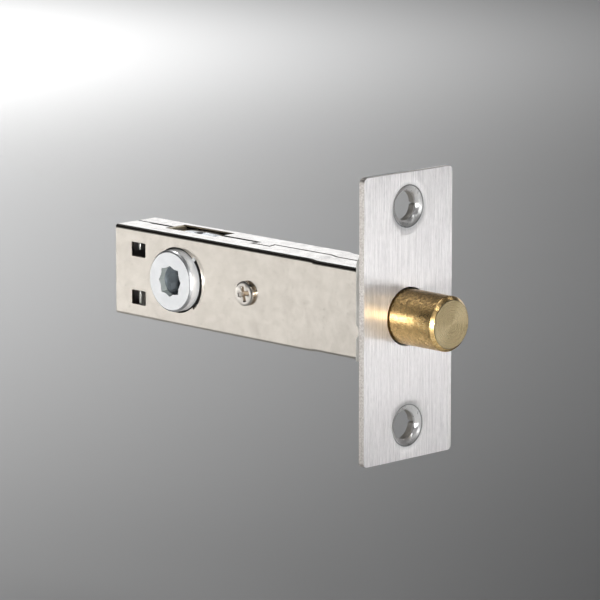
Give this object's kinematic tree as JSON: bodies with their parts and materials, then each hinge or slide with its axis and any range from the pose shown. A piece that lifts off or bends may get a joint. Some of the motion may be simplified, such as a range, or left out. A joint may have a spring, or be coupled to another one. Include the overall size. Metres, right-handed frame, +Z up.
{
  "type": "privacy bolt",
  "caption": "Tubular door privacy bolt: a spindle-turned hub throws a round brass bolt out through a flat faceplate, and a leaf spring holds it at either end.",
  "frame": {"origin": "centre of the two fixing screw holes, on the bolt's axis, in the faceplate's front face", "axes": "+X out of the door edge along the bolt, Y across the door's thickness, +Z up"},
  "size_m": [0.0902, 0.0244, 0.057],
  "materials": {
    "brushed_stainless": "brushed along its length, satin",
    "nickel_plated_steel": "warm satin nickel plate on folded sheet",
    "plated_steel": "zinc plated, satin",
    "bright_nickel": "bright nickel plate",
    "die_cast_zinc": "die-cast zinc, nickel plated, fine matt face",
    "brass": "turned brass, a little aged",
    "spring_steel": "bright rolled strip"
  },
  "bodies": {
    "case": {"faceplate": "brushed_stainless", "inner_forend": "plated_steel", "forend_collar": "die_cast_zinc", "forend_rivets": "plated_steel", "case_near_shell": "nickel_plated_steel", "case_far_shell": "nickel_plated_steel", "end_bracket": "plated_steel", "case_screw": "bright_nickel", "screw_post": "plated_steel", "detent_spring": "spring_steel"},
    "bolt": {"bolt_bar": "brass", "bolt_tail": "plated_steel", "tail_pins": "plated_steel"},
    "hub": {"hub_near_half": "die_cast_zinc", "hub_far_half": "die_cast_zinc", "drive_pin": "plated_steel"}
  },
  "joints": [
    {"name": "hub_turn", "type": "hinge", "parent": "case", "child": "hub", "pos_m": [-0.06, 0, 0], "axis": [0, 1, 0], "range_deg": [0, 90], "deforming": ["detent_spring"]},
    {"name": "bolt_throw", "type": "slide", "parent": "case", "child": "bolt", "axis": [1, 0, 0], "range_m": [-0.01047, 0]}
  ],
  "couplings": [
    {"joint": "hub_turn", "follows": "bolt_throw", "rad_per_m": -150.1}
  ]
}
